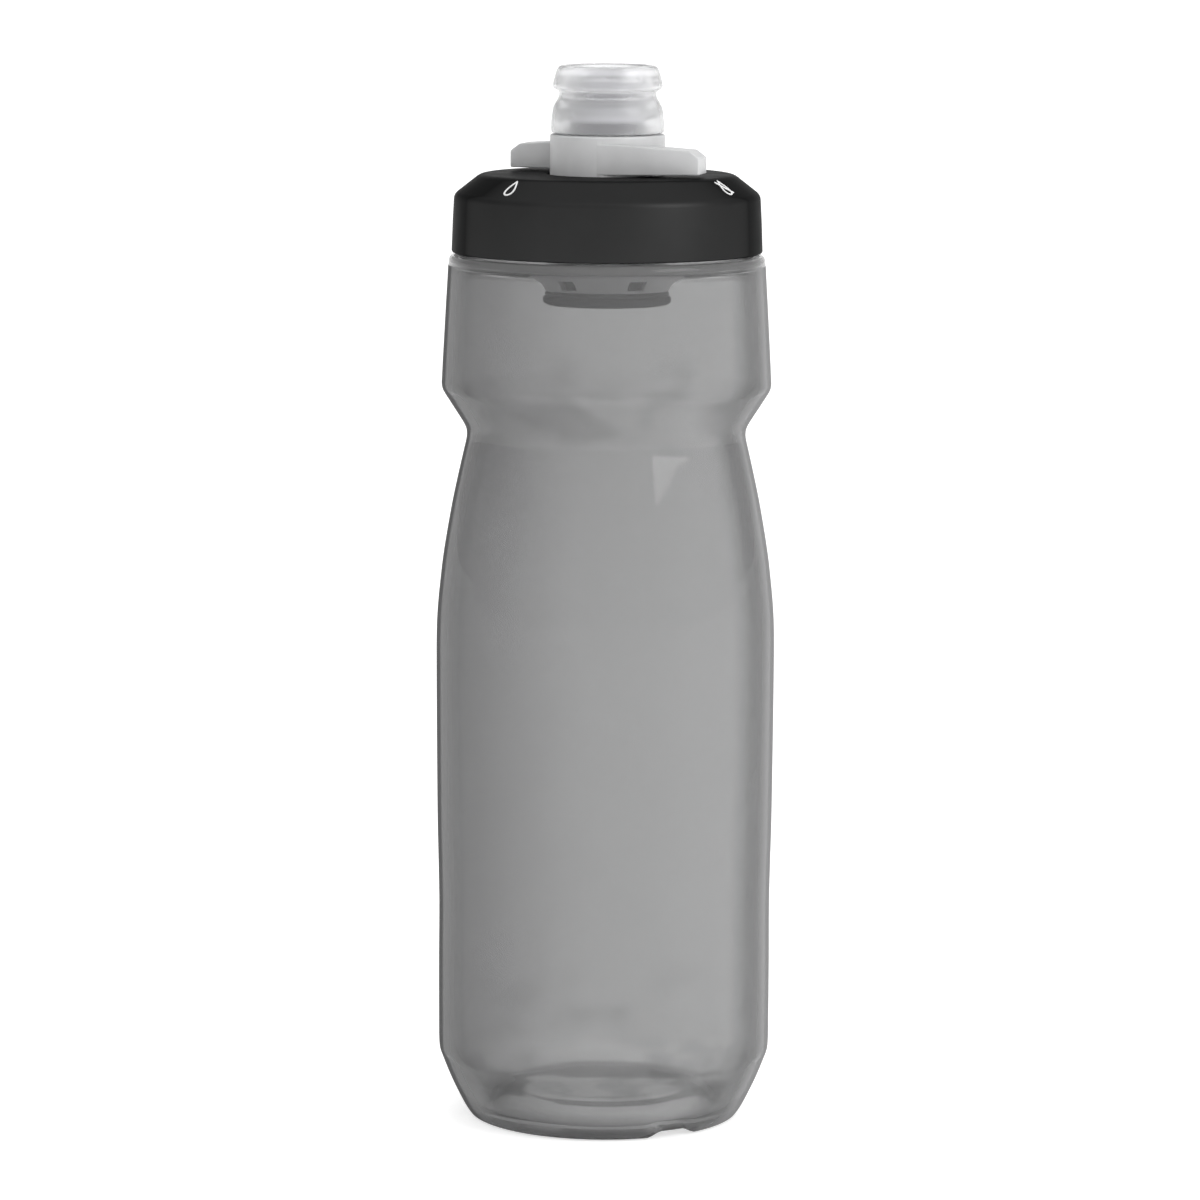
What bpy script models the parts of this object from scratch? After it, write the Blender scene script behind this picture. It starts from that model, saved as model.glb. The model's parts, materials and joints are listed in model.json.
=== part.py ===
"""Squeeze bottle for a bicycle cage: blown body, screw cap, quarter-turn lock dial and soft nozzle.

All lengths are metres. The bottle stands on z = 0 with its axis on the Z axis, and -Y is the front.
Azimuths are degrees from the front (-Y) towards +X.
"""

from math import cos, pi, radians, sin

import bmesh
import bpy
from mathutils import Matrix, Vector

MM = 0.001
GAP = 0.3 * MM  # between pieces that touch on the bench

# ---- bottle body
BODY_SEGMENTS = 46
WALL = 1.1 * MM
BODY_OUTSIDE = (  # (radius, height) in mm, from the standing ring to the top of the shoulder
    (28.9, 0.0), (29.5, 0.25), (30.6, 2.2), (32.0, 4.9), (33.3, 7.6), (34.4, 10.3), (35.4, 12.8),
    (35.9, 14.2), (36.1, 15.8), (36.2, 30.0), (36.15, 47.0), (36.5, 65.0), (36.65, 82.0),
    (36.75, 100.0), (36.7, 108.5), (36.35, 113.3), (35.45, 122.0), (34.05, 130.8), (32.35, 139.4),
    (31.3, 144.3), (30.4, 148.1), (30.15, 149.6), (30.3, 150.9), (30.85, 152.2), (32.5, 154.8),
    (34.2, 157.4), (35.0, 158.7), (35.55, 159.9), (35.65, 160.9), (35.2, 170.0), (34.7, 178.6),
    (34.25, 187.0), (33.95, 188.1), (33.1, 188.7),
)
RING_INNER = 25.6 * MM  # inner edge of the standing ring
PUSH_UP = 5.0 * MM  # height of the hollow under the base
RING_FLOOR = 2.5 * MM  # thickness of plastic over the standing ring
DRAIN_AZIMUTHS = (31.0, 211.0)
DRAIN_WIDTH = 9.0 * MM
DRAIN_DEPTH = 1.25 * MM

# ---- neck and thread
NECK_BORE = 27.6 * MM
NECK_ROOT = 29.4 * MM
NECK_FOOT = 188.8 * MM
NECK_LIP = 200.4 * MM
THREAD_CREST = 30.9 * MM
CAP_THREAD_CREST = 29.85 * MM
PITCH = 4.5 * MM
THREAD_TURNS = 1.5
THREAD_START = 191.9 * MM
THREAD_FOOT_WIDTH = 2.1 * MM
THREAD_CREST_WIDTH = 1.1 * MM
THREAD_STEP = 13.5  # degrees between sections
THREAD_LEAD_IN = 2.9  # degrees, keeps the ridge's sections off the neck's own edges

# ---- screw cap
CAP_SEGMENTS = 46
CAP_FOOT = 189.1 * MM
CAP_TOP = 206.0 * MM
CAP_FOOT_RADIUS = 33.55 * MM
CAP_SHOULDER_RADIUS = 33.0 * MM
CAP_SHOULDER = 201.6 * MM
CAP_CROWN_RADIUS = 27.3 * MM
CAP_BORE = 31.45 * MM
CAP_PLATE = 1.8 * MM
CAP_RECESS = 13.0 * MM  # radius of the shallow seat that the dial turns in
CAP_RECESS_FLOOR = 205.2 * MM
GASKET_LAND = 202.4 * MM
GASKET_INNER = 26.7 * MM
GASKET_OUTER = 29.8 * MM
CAP_HOLE = 8.3 * MM
HUB_OUTER = 10.0 * MM
HUB_FOOT = 198.0 * MM

# ---- tapered valve under the cap
VALVE_SEGMENTS = 32
HOUSING_FOOT = 181.3 * MM
HOUSING_FOOT_RADIUS = 13.3 * MM
HOUSING_KNEE = 188.6 * MM
HOUSING_RADIUS = 16.9 * MM
HOUSING_WALL = 1.45 * MM
HOUSING_FLANGE = 18.4 * MM
PORT_AZIMUTHS = (-37.0, 27.0, 143.0, 207.0)
PORT_WIDTH = 4.0 * MM
PORT_FOOT = 182.0 * MM
PORT_TOP = 185.1 * MM
QUARTER_TURN = 90.0
DISC_FOOT = 177.9 * MM
DISC_TOP = 180.0 * MM
DISC_RADIUS = 13.85 * MM
ROTOR_TUBE = 7.8 * MM
ROTOR_BORE = 6.2 * MM
ROTOR_SHOULDER_RADIUS = 9.6 * MM
ROTOR_TOP = 213.0 * MM
STEM_RING_HEIGHTS = (200.2 * MM, 203.2 * MM)
STEM_RING_SECTION = 0.55 * MM

# ---- lock dial
DIAL_SEGMENTS = 40
DIAL_FOOT = CAP_RECESS_FLOOR + GAP
DIAL_TOP = 214.5 * MM
DIAL_RADIUS = 12.4 * MM
WING_NORMAL = -14.0  # azimuth that the right wing's outer face looks towards
WING_LENGTH = 23.0 * MM
WING_THICKNESS = 7.5 * MM
WING_ROOT = 11.8 * MM  # radius inside the collar's wall where each wing starts
WING_ROOT_FOOT = CAP_TOP + 0.3 * MM
WING_TIP_FOOT = CAP_TOP + 0.7 * MM
WING_ROOT_TOP = 212.9 * MM
WING_TIP_TOP = 211.85 * MM
WING_CHAMFER = 2.1 * MM
WING_TIP_CORNER = 210.3 * MM
SPOUT_RADIUS = 8.3 * MM
SPOUT_BEAD = 9.0 * MM
SPOUT_TOP = 221.8 * MM
DETENT_AZIMUTHS = (-40.0, 36.0, 140.0, 216.0)

# ---- soft nozzle
NOZZLE_SEGMENTS = 36
NOZZLE_OUTSIDE = (  # (radius, height) in mm
    (11.9, 214.8), (12.2, 215.2), (12.2, 216.6), (12.0, 218.8), (11.75, 220.3), (11.3, 221.2),
    (10.7, 222.0), (10.45, 222.9), (10.55, 223.7), (11.4, 224.1), (11.8, 224.7), (11.75, 225.6),
    (11.3, 227.1), (10.9, 228.4), (10.4, 229.0), (9.6, 229.3), (8.8, 229.1), (8.2, 228.5),
)
SLIT_LENGTH = 8.0 * MM
SLIT_WIDTH = 0.3 * MM

# ---- position marks on the cap's chamfer
OPEN_AZIMUTH = -42.8
LOCKED_AZIMUTH = 56.3
MARK_LENGTH = 4.4 * MM
MARK_WIDTH = 2.9 * MM
MARK_LINE = 0.4 * MM
MARK_RAISE = 0.5 * MM  # distance of the marks' middle above the chamfer's middle, up its slope
STRIKE_LENGTH = 4.8 * MM
MARK_HEIGHT = 0.25 * MM


def clear_scene():
    for obj in list(bpy.data.objects):
        bpy.data.objects.remove(obj, do_unlink=True)


def plastic(name, colour, roughness, transmission=0.0):
    material = bpy.data.materials.new(name)
    material.use_nodes = True
    shader = material.node_tree.nodes["Principled BSDF"]
    shader.inputs["Base Color"].default_value = (*colour, 1.0)
    shader.inputs["Roughness"].default_value = roughness
    shader.inputs["Transmission Weight"].default_value = transmission
    return material


def outward(azimuth):
    """Unit vector away from the axis at this azimuth."""
    return Vector((sin(radians(azimuth)), -cos(radians(azimuth)), 0.0))


def add_object(name, bm, material, height=0.0):
    """An object whose origin is on the bottle's axis at this height. The mesh is given in world space."""
    bmesh.ops.recalc_face_normals(bm, faces=bm.faces)
    bmesh.ops.translate(bm, verts=bm.verts, vec=(0.0, 0.0, -height))
    mesh = bpy.data.meshes.new(name)
    bm.to_mesh(mesh)
    bm.free()
    mesh.shade_smooth()
    mesh.set_sharp_from_angle(angle=radians(35.0))
    obj = bpy.data.objects.new(name, mesh)
    obj.location.z = height
    bpy.context.scene.collection.objects.link(obj)
    if material:
        mesh.materials.append(material)
    return obj


def turned(profile, segments):
    """A closed body of revolution. The profile is a loop of (radius, height), with radius 0 only at its ends."""
    bm = bmesh.new()
    rings = []
    for radius, height in profile:
        if radius == 0.0:
            rings.append([bm.verts.new((0.0, 0.0, height))])
            continue
        angles = [2.0 * pi * k / segments for k in range(segments)]
        rings.append([bm.verts.new((radius * sin(a), -radius * cos(a), height)) for a in angles])
    open_ends = len(rings[0]) == 1
    for low, high in zip(rings, rings[1:] + ([] if open_ends else rings[:1])):
        for k in range(segments):
            n = (k + 1) % segments
            corners = [low[k % len(low)], low[n % len(low)], high[n % len(high)], high[k % len(high)]]
            bm.faces.new(list(dict.fromkeys(corners)))
    return bm


def helper(name, bm):
    """A hidden solid that a Boolean adds or takes away."""
    obj = add_object(name, bm, None)
    obj.hide_render = True
    obj.display_type = "WIRE"
    return obj


def boolean(obj, other, operation):
    modifier = obj.modifiers.new(other.name, "BOOLEAN")
    modifier.operation = operation
    modifier.solver = "EXACT"
    modifier.object = other


def prism(outline, frame, depth):
    """The outline, points in the frame's x and y, made solid along its z from 0 to depth."""
    bm = bmesh.new()
    near = [bm.verts.new(frame @ Vector((x, y, 0.0))) for x, y in outline]
    far = [bm.verts.new(frame @ Vector((x, y, depth))) for x, y in outline]
    bm.faces.new(near)
    bm.faces.new(far)
    for k in range(len(near)):
        n = (k + 1) % len(near)
        bm.faces.new([near[k], near[n], far[n], far[k]])
    return bm


def radial_frame(azimuth, radius, height):
    """Axes at a point around the bottle: x along the tangent, y up, z outward."""
    out = outward(azimuth)
    across = Vector((0.0, 0.0, 1.0)).cross(out)
    rows = [(across[k], (0.0, 0.0, 1.0)[k], out[k], 0.0) for k in range(3)]
    place = out * radius + Vector((0.0, 0.0, height))
    return Matrix.Translation(place) @ Matrix([*rows, (0.0, 0.0, 0.0, 1.0)])


def radial_cutter(name, azimuth, width, foot, top, near, far):
    """A hidden box between two radii, used to cut an opening."""
    half = width / 2.0
    outline = [(-half, foot), (half, foot), (half, top), (-half, top)]
    return helper(name, prism(outline, radial_frame(azimuth, near, 0.0), far - near))


def helix(first, last, start_height, crest, foot):
    """A thread ridge between two angles in degrees, tapering in over its first and last sections."""
    bm = bmesh.new()
    steps = round((last - first) / THREAD_STEP)
    sections = []
    for k in range(steps + 1):
        angle = first + THREAD_LEAD_IN + (last - first) * k / steps
        fade = min(1.0, (min(k, steps - k) + 0.4) / 2.0)
        tip = foot + (crest - foot) * fade
        sink = foot - (crest - foot) * 0.35
        height = start_height + PITCH * angle / 360.0
        around = Vector((cos(radians(angle)), sin(radians(angle)), 0.0))
        wide, narrow = THREAD_FOOT_WIDTH / 2.0, THREAD_CREST_WIDTH / 2.0
        corners = [(sink, -wide), (tip, -narrow), (tip, narrow), (sink, wide)]
        sections.append([bm.verts.new(around * r + Vector((0.0, 0.0, height + z))) for r, z in corners])
    for low, high in zip(sections, sections[1:]):
        for k in range(4):
            n = (k + 1) % 4
            bm.faces.new([low[k], low[n], high[n], high[k]])
    bm.faces.new(sections[0])
    bm.faces.new(sections[-1])
    return bm


def body_profile():
    """Outside from the standing ring up, over the neck's lip, and back down inside."""
    outside = [(r * MM, z * MM) for r, z in BODY_OUTSIDE]
    neck = [
        (NECK_ROOT, NECK_FOOT), (NECK_ROOT, NECK_LIP - 0.4 * MM), (NECK_ROOT - 0.4 * MM, NECK_LIP),
        (NECK_BORE + 0.4 * MM, NECK_LIP), (NECK_BORE, NECK_LIP - 0.4 * MM),
        (NECK_BORE, 188.2 * MM), (28.4 * MM, 187.0 * MM), (32.2 * MM, 186.7 * MM), (33.2 * MM, 185.4 * MM),
    ]
    inside = [(r - WALL, z) for r, z in reversed(outside[::2]) if 8.0 * MM < z < 180.0 * MM]
    floor = RING_FLOOR
    base = [
        (30.6 * MM, 4.9 * MM), (29.0 * MM, floor + 0.5 * MM), (27.8 * MM, floor),
        (RING_INNER + 0.6 * MM, floor), (21.5 * MM, PUSH_UP + 1.1 * MM), (16.0 * MM, PUSH_UP + 1.6 * MM),
        (4.0 * MM, PUSH_UP + 1.8 * MM), (4.0 * MM, PUSH_UP + 0.5 * MM), (16.0 * MM, PUSH_UP + 0.3 * MM),
        (21.0 * MM, PUSH_UP - 0.4 * MM), (RING_INNER, 0.0),
    ]
    return outside + neck + inside + base


def make_bottle(material):
    profile = body_profile()
    centre = profile.index((4.0 * MM, PUSH_UP + 1.8 * MM)) + 1
    loop = [(0.0, PUSH_UP + 0.6 * MM), *profile[centre:], *profile[:centre], (0.0, PUSH_UP + 1.8 * MM)]
    bottle = add_object("bottle_body", turned(loop, BODY_SEGMENTS), material)
    thread = helix(0.0, 360.0 * THREAD_TURNS, THREAD_START, THREAD_CREST, NECK_ROOT)
    boolean(bottle, helper("neck_thread_form", thread), "UNION")
    for number, azimuth in enumerate(DRAIN_AZIMUTHS, 1):
        half, depth = DRAIN_WIDTH / 2.0, DRAIN_DEPTH
        outline = [(-half, -1.0 * MM), (half, -1.0 * MM), (half * 0.5, depth), (-half * 0.5, depth)]
        near = 23.0 * MM
        cutter = prism(outline, radial_frame(azimuth, near, 0.0), 32.0 * MM - near)
        boolean(bottle, helper(f"drain_form_{number}", cutter), "DIFFERENCE")


def cap_profile():
    plate = CAP_TOP - CAP_PLATE
    ring_outer = HOUSING_FLANGE + GAP + 1.3 * MM
    skirt = GASKET_INNER - GAP
    return [
        (CAP_HOLE, HUB_FOOT), (CAP_HOLE, CAP_RECESS_FLOOR - 0.2 * MM), (CAP_HOLE + 0.2 * MM, CAP_RECESS_FLOOR),
        (CAP_RECESS, CAP_RECESS_FLOOR), (CAP_RECESS, CAP_TOP - 0.25 * MM), (CAP_RECESS + 0.25 * MM, CAP_TOP),
        (CAP_CROWN_RADIUS - 0.4 * MM, CAP_TOP), (CAP_CROWN_RADIUS + 0.4 * MM, CAP_TOP - 0.32 * MM),
        (CAP_SHOULDER_RADIUS - 0.6 * MM, CAP_SHOULDER + 0.5 * MM), (CAP_SHOULDER_RADIUS, CAP_SHOULDER - 0.5 * MM),
        (CAP_FOOT_RADIUS, CAP_FOOT + 0.6 * MM), (CAP_FOOT_RADIUS - 0.4 * MM, CAP_FOOT),
        (CAP_BORE + 0.3 * MM, CAP_FOOT), (CAP_BORE, CAP_FOOT + 0.5 * MM), (CAP_BORE, 200.3 * MM),
        (GASKET_OUTER + GAP, GASKET_LAND), (skirt, GASKET_LAND), (skirt, 199.6 * MM),
        (skirt - 1.2 * MM, 199.6 * MM), (skirt - 1.2 * MM, plate), (ring_outer, plate),
        (ring_outer, 199.4 * MM), (HOUSING_FLANGE + GAP, 199.4 * MM), (HOUSING_FLANGE + GAP, plate),
        (HUB_OUTER, plate), (HUB_OUTER, HUB_FOOT),
    ]


def make_cap(material):
    cap = add_object("cap_shell", turned(cap_profile(), CAP_SEGMENTS), material, CAP_FOOT)
    first = 180.0
    thread = helix(first, first + 360.0 * THREAD_TURNS, THREAD_START - PITCH / 2.0, CAP_THREAD_CREST, CAP_BORE)
    boolean(cap, helper("cap_thread_form", thread), "UNION")


def make_gasket(material):
    foot, top = NECK_LIP + GAP, GASKET_LAND - GAP
    round_off = 0.25 * MM
    profile = [
        (GASKET_INNER, foot + round_off), (GASKET_INNER, top - round_off), (GASKET_INNER + round_off, top),
        (GASKET_OUTER - round_off, top), (GASKET_OUTER, top - round_off), (GASKET_OUTER, foot + round_off),
        (GASKET_OUTER - round_off, foot), (GASKET_INNER + round_off, foot),
    ]
    add_object("cap_gasket", turned(profile, CAP_SEGMENTS), material, foot)


def cone_radius(outer_offset, height):
    """Radius of the housing's cone at a height, moved by an offset along the radius."""
    slope = (HOUSING_RADIUS - HOUSING_FOOT_RADIUS) / (HOUSING_KNEE - HOUSING_FOOT)
    return HOUSING_FOOT_RADIUS + slope * (height - HOUSING_FOOT) + outer_offset


def cut_ports(obj, label, turn, near, far):
    for number, azimuth in enumerate(PORT_AZIMUTHS, 1):
        name = f"{label}_port_form_{number}"
        cutter = radial_cutter(name, azimuth + turn, PORT_WIDTH, PORT_FOOT, PORT_TOP, near, far)
        boolean(obj, cutter, "DIFFERENCE")


def make_housing(material):
    top = CAP_TOP - CAP_PLATE - GAP
    wall = -HOUSING_WALL
    profile = [
        (cone_radius(0.0, HOUSING_FOOT) - 0.2 * MM, HOUSING_FOOT), (cone_radius(0.0, HOUSING_FOOT + GAP), HOUSING_FOOT + GAP),
        (HOUSING_RADIUS, HOUSING_KNEE), (HOUSING_RADIUS, 201.6 * MM), (HOUSING_FLANGE, 202.2 * MM),
        (HOUSING_FLANGE, top), (HOUSING_RADIUS + wall, top), (HOUSING_RADIUS + wall, HOUSING_KNEE + 0.3 * MM),
        (cone_radius(wall, HOUSING_FOOT), HOUSING_FOOT),
    ]
    housing = add_object("valve_housing", turned(profile, VALVE_SEGMENTS), material, HOUSING_FOOT)
    cut_ports(housing, "housing", 0.0, 9.0 * MM, 19.0 * MM)


def make_rotor(material):
    gap = -(HOUSING_WALL + 1.15 * GAP)
    inner = gap - 1.5 * MM
    foot = HOUSING_FOOT + 0.2 * MM
    knee = HOUSING_KNEE - 0.2 * MM
    shoulder = HUB_FOOT - GAP
    grooves = []
    for height in STEM_RING_HEIGHTS:
        half = STEM_RING_SECTION + 0.25 * MM
        deep = ROTOR_TUBE - 0.75 * MM
        grooves += [(ROTOR_TUBE, height - half), (deep, height - half), (deep, height + half), (ROTOR_TUBE, height + half)]
    profile = [
        (cone_radius(gap, foot), foot), (cone_radius(gap, knee), knee), (cone_radius(gap, knee), knee + 1.6 * MM),
        (13.8 * MM, 191.2 * MM), (ROTOR_SHOULDER_RADIUS, 193.6 * MM), (ROTOR_SHOULDER_RADIUS, shoulder),
        (ROTOR_TUBE, shoulder), *grooves, (ROTOR_TUBE, ROTOR_TOP - 0.4 * MM), (ROTOR_TUBE - 0.4 * MM, ROTOR_TOP),
        (ROTOR_BORE, ROTOR_TOP), (ROTOR_BORE, 194.2 * MM), (cone_radius(inner, knee), knee + 0.9 * MM),
        (cone_radius(inner, foot), foot),
    ]
    rotor = add_object("valve_rotor", turned(profile, VALVE_SEGMENTS), material, foot)
    cut_ports(rotor, "rotor", QUARTER_TURN, 8.0 * MM, 17.0 * MM)


def make_end_disc(material):
    stub = cone_radius(-HOUSING_WALL, HOUSING_FOOT) - GAP
    profile = [
        (0.0, DISC_FOOT), (DISC_RADIUS - 0.9 * MM, DISC_FOOT), (DISC_RADIUS, DISC_FOOT + 0.6 * MM),
        (DISC_RADIUS, DISC_TOP - 0.4 * MM), (DISC_RADIUS - 0.4 * MM, DISC_TOP), (stub, DISC_TOP),
        (stub, HOUSING_FOOT - 0.1 * MM), (stub - 1.3 * MM, HOUSING_FOOT - 0.1 * MM),
        (stub - 1.3 * MM, DISC_TOP - 0.3 * MM), (0.0, DISC_TOP - 0.3 * MM),
    ]
    add_object("valve_end_disc", turned(profile, VALVE_SEGMENTS), material, DISC_FOOT)


def make_disc_washer(material):
    foot, top = DISC_TOP + GAP, HOUSING_FOOT - GAP
    inner, outer = cone_radius(-HOUSING_WALL, HOUSING_FOOT), HOUSING_FOOT_RADIUS
    profile = [(inner, foot), (outer, foot), (outer + 0.15 * MM, (foot + top) / 2.0), (outer, top), (inner, top)]
    add_object("disc_washer", turned(profile, VALVE_SEGMENTS), material, foot)


def make_stem_rings(material):
    for name, height in zip(("stem_ring_lower", "stem_ring_upper"), STEM_RING_HEIGHTS):
        centre = CAP_HOLE - 0.1 * MM - STEM_RING_SECTION
        angles = [2.0 * pi * k / 6 for k in range(6)]
        section = [(centre + STEM_RING_SECTION * cos(a), height + STEM_RING_SECTION * sin(a)) for a in angles]
        add_object(name, turned(section, VALVE_SEGMENTS), material, height)


def dial_profile():
    sleeve_bore = ROTOR_TUBE + GAP
    stop = ROTOR_TOP + GAP
    return [
        (sleeve_bore, DIAL_FOOT + 0.9 * MM), (sleeve_bore, stop), (ROTOR_BORE, stop), (ROTOR_BORE, SPOUT_TOP),
        (SPOUT_RADIUS - 0.5 * MM, SPOUT_TOP), (SPOUT_RADIUS, SPOUT_TOP - 0.6 * MM), (SPOUT_BEAD, 220.2 * MM),
        (SPOUT_BEAD, 219.3 * MM), (SPOUT_RADIUS, 218.7 * MM), (SPOUT_RADIUS, DIAL_TOP),
        (DIAL_RADIUS - 0.35 * MM, DIAL_TOP), (DIAL_RADIUS, DIAL_TOP - 0.35 * MM), (DIAL_RADIUS, DIAL_FOOT),
        (DIAL_RADIUS - 1.3 * MM, DIAL_FOOT), (DIAL_RADIUS - 1.3 * MM, 212.8 * MM),
        (sleeve_bore + 1.3 * MM, 212.8 * MM), (sleeve_bore + 1.3 * MM, DIAL_FOOT + 0.9 * MM),
    ]


def wing(azimuth):
    """A plate whose outer face touches the collar at this azimuth and runs on from there."""
    out = outward(azimuth)
    along = Vector((0.0, 0.0, 1.0)).cross(out)
    rows = [(along[k], (0.0, 0.0, 1.0)[k], out[k], 0.0) for k in range(3)]
    inner_face = out * (DIAL_RADIUS - WING_THICKNESS)
    frame = Matrix.Translation(inner_face) @ Matrix([*rows, (0.0, 0.0, 0.0, 1.0)])
    outline = [
        (0.5 * MM, WING_ROOT_FOOT), (WING_LENGTH, WING_TIP_FOOT), (WING_LENGTH, WING_TIP_CORNER),
        (WING_LENGTH - WING_CHAMFER, WING_TIP_TOP), (5.0 * MM, WING_ROOT_TOP), (0.5 * MM, WING_ROOT_TOP),
    ]
    return prism(outline, frame, WING_THICKNESS)


def make_dial(material):
    dial = add_object("lock_dial", turned(dial_profile(), DIAL_SEGMENTS), material, DIAL_FOOT)
    core = [(0.0, CAP_RECESS_FLOOR), (WING_ROOT, CAP_RECESS_FLOOR), (WING_ROOT, DIAL_TOP), (0.0, DIAL_TOP)]
    core_form = helper("wing_root_form", turned(core, DIAL_SEGMENTS))
    for number, turn in enumerate((0.0, 180.0), 1):
        wing_form = helper(f"wing_form_{number}", wing(WING_NORMAL + turn))
        boolean(wing_form, core_form, "DIFFERENCE")
        boolean(dial, wing_form, "UNION")
    for number, azimuth in enumerate(DETENT_AZIMUTHS, 1):
        cutter = radial_cutter(f"detent_form_{number}", azimuth, 1.4 * MM, DIAL_FOOT - MM, DIAL_FOOT + 0.5 * MM,
                               10.0 * MM, 13.0 * MM)
        boolean(dial, cutter, "DIFFERENCE")


def make_nozzle(material):
    outside = [(r * MM, z * MM) for r, z in NOZZLE_OUTSIDE]
    bore = SPOUT_RADIUS + GAP
    inside = [
        (0.0, 226.2 * MM), (4.5 * MM, 226.3 * MM), (6.6 * MM, 225.6 * MM), (7.0 * MM, 224.0 * MM), (7.0 * MM, SPOUT_TOP + GAP),
        (bore, SPOUT_TOP + GAP), (SPOUT_BEAD + GAP, 220.6 * MM), (SPOUT_BEAD + GAP, 219.1 * MM), (bore, 218.3 * MM),
        (bore, DIAL_TOP + 0.6 * MM), (bore + 0.3 * MM, DIAL_TOP + GAP),
    ]
    membrane = [(6.4 * MM, 227.6 * MM), (3.0 * MM, 227.3 * MM), (0.0, 227.3 * MM)]
    nozzle = add_object("nozzle_valve", turned(inside + outside + membrane, NOZZLE_SEGMENTS), material, DIAL_TOP)
    for number, turn in enumerate((45.0, 135.0), 1):
        frame = Matrix.Rotation(radians(turn), 4, "Z") @ Matrix.Translation((0.0, 0.0, 225.0 * MM))
        half, side = SLIT_LENGTH / 2.0, SLIT_WIDTH / 2.0
        outline = [(-half, -side), (half, -side), (half, side), (-half, side)]
        boolean(nozzle, helper(f"slit_form_{number}", prism(outline, frame, 4.0 * MM)), "DIFFERENCE")


def drop_outline(grow, count=22):
    """A water drop, point up, as a loop of points around its middle."""
    points = []
    for k in range(count):
        a = 2.0 * pi * k / count
        half_width = (MARK_WIDTH / 2.0 + grow) * sin(a) * (sin(a / 2.0) ** 1.3)
        height = (MARK_LENGTH / 2.0 + grow * (1.9 if k == 0 else 1.0)) * cos(a)
        points.append((half_width, height))
    return points


def mark_frame(azimuth):
    """Axes on the cap's chamfer: x around it, y up its slope, z out of its surface, at the surface."""
    out, up = outward(azimuth), Vector((0.0, 0.0, 1.0))
    rise, run = CAP_TOP - CAP_SHOULDER, CAP_SHOULDER_RADIUS - CAP_CROWN_RADIUS
    slope = (up * rise - out * run).normalized()
    across = up.cross(out)
    normal = across.cross(slope)
    middle = out * (CAP_CROWN_RADIUS + run / 2.0) + up * (CAP_SHOULDER + rise / 2.0) + slope * MARK_RAISE
    rows = [(across[k], slope[k], normal[k], 0.0) for k in range(3)]
    return Matrix.Translation(middle + normal * 0.12 * MM) @ Matrix([*rows, (0.0, 0.0, 0.0, 1.0)])


def drop_line(frame):
    """The drop as an outline of even width, solid along the frame's z."""
    bm = bmesh.new()
    outer, inner = drop_outline(MARK_LINE / 2.0), drop_outline(-MARK_LINE / 2.0)
    loops = [
        [bm.verts.new(frame @ Vector((x, y, z))) for x, y in outline]
        for outline, z in ((outer, 0.0), (outer, MARK_HEIGHT), (inner, MARK_HEIGHT), (inner, 0.0))
    ]
    for a, b in zip(loops, loops[1:] + loops[:1]):
        for k in range(len(a)):
            n = (k + 1) % len(a)
            bm.faces.new([a[k], a[n], b[n], b[k]])
    return bm


def make_marks(material):
    add_object("open_mark", drop_line(mark_frame(OPEN_AZIMUTH)), material)
    frame = mark_frame(LOCKED_AZIMUTH)
    locked = add_object("locked_mark", drop_line(frame), material)
    reach, side = STRIKE_LENGTH / 2.0, MARK_LINE / 2.0
    bar = [(-reach, -side), (reach, -side), (reach, side), (-reach, side)]
    tilt = Matrix.Rotation(radians(-50.0), 4, "Z")
    boolean(locked, helper("strike_form", prism(bar, frame @ tilt, MARK_HEIGHT)), "UNION")


def main():
    clear_scene()
    smoke = plastic("smoke_plastic", (0.22, 0.22, 0.23), 0.35, 0.8)
    black = plastic("black_plastic", (0.03, 0.03, 0.032), 0.45)
    grey = plastic("grey_plastic", (0.48, 0.49, 0.5), 0.4)
    silicone = plastic("clear_silicone", (0.82, 0.84, 0.85), 0.35, 0.6)
    rubber = plastic("seal_rubber", (0.08, 0.08, 0.085), 0.6)
    white = plastic("mark_white", (0.85, 0.85, 0.85), 0.5)
    make_bottle(smoke)
    make_cap(black)
    make_gasket(silicone)
    make_housing(grey)
    make_rotor(black)
    make_end_disc(black)
    make_disc_washer(rubber)
    make_stem_rings(rubber)
    make_dial(grey)
    make_nozzle(silicone)
    make_marks(white)


main()
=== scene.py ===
"""Looks for the squeeze bottle: smoked blown body, black cap, grey lock dial, clear silicone nozzle."""

import json
from math import cos, pi, radians, sin

import bmesh
import bpy
import numpy as np
from mathutils import Matrix, Vector

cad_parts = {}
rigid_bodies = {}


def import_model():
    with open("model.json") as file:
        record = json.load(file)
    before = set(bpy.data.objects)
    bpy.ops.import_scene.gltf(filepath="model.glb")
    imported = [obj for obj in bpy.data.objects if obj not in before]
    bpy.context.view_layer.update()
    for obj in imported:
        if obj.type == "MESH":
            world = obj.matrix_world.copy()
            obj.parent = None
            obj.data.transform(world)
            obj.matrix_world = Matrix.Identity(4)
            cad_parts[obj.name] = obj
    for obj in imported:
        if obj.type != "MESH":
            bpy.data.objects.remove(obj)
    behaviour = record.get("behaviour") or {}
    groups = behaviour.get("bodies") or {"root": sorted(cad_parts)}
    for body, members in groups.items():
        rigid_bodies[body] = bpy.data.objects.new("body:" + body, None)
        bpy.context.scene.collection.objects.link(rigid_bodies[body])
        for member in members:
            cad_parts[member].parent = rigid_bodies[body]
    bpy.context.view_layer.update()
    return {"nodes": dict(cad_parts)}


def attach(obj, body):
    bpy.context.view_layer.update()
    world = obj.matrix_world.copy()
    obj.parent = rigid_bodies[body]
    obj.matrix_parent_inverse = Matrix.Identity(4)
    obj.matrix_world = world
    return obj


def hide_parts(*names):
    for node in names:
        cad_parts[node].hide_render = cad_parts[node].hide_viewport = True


MM = 0.001

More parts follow.
